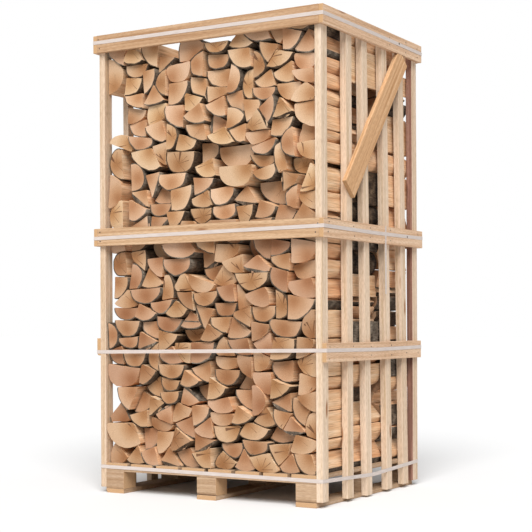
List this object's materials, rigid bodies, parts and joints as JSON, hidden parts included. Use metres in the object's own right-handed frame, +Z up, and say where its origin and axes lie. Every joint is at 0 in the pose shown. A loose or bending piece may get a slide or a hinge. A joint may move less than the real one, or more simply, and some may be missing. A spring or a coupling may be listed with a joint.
{
  "type": "pallet of firewood",
  "caption": "Tall slatted timber crate on a block pallet, filled with stacked split firewood and bound with white straps",
  "frame": {"origin": "on the floor under the middle of the crate", "axes": "+Z up, the open front with the log ends faces -Y, +X to the right along the front"},
  "size_m": [1.2031, 1.0026, 2.1],
  "materials": {
    "lath_wood": "rough sawn, pale",
    "rail_wood": "rough sawn, yellow-brown",
    "pallet_wood": "rough sawn, used",
    "log_wood": "sawn ends, split faces, bark",
    "strap_white": "satin woven band"
  },
  "bodies": {
    "root": {"block_back_left": "pallet_wood", "block_back_middle": "pallet_wood", "block_back_right": "pallet_wood", "block_front_left": "pallet_wood", "block_front_middle": "pallet_wood", "block_front_right": "pallet_wood", "block_middle_left": "pallet_wood", "block_middle_middle": "pallet_wood", "block_middle_right": "pallet_wood", "brace_left": "rail_wood", "brace_right": "rail_wood", "deck_board_1": "pallet_wood", "deck_board_2": "pallet_wood", "deck_board_3": "pallet_wood", "deck_board_4": "pallet_wood", "deck_board_5": "pallet_wood", "deck_board_6": "pallet_wood", "deck_board_7": "pallet_wood", "deck_board_8": "pallet_wood", "firewood_back_row": "log_wood", "firewood_front_row": "log_wood", "firewood_middle_row": "log_wood", "post_back_left": "lath_wood", "post_back_right": "lath_wood", "post_front_left": "lath_wood", "post_front_right": "lath_wood", "rail_lower_left": "rail_wood", "rail_lower_right": "rail_wood", "rail_middle_back": "rail_wood", "rail_middle_front": "rail_wood", "rail_middle_left": "rail_wood", "rail_middle_right": "rail_wood", "rail_top_back": "rail_wood", "rail_top_front": "rail_wood", "rail_top_left": "rail_wood", "rail_top_right": "rail_wood", "skid_left": "pallet_wood", "skid_middle": "pallet_wood", "skid_right": "pallet_wood", "slat_left_1": "lath_wood", "slat_left_2": "lath_wood", "slat_left_3": "lath_wood", "slat_left_4": "lath_wood", "slat_right_1": "lath_wood", "slat_right_2": "lath_wood", "slat_right_3": "lath_wood", "slat_right_4": "lath_wood", "strap_bottom": "strap_white", "strap_lower": "strap_white", "strap_middle": "strap_white", "strap_top": "strap_white", "stringer_back": "pallet_wood", "stringer_front": "pallet_wood", "stringer_middle": "pallet_wood"}
  },
  "joints": []
}
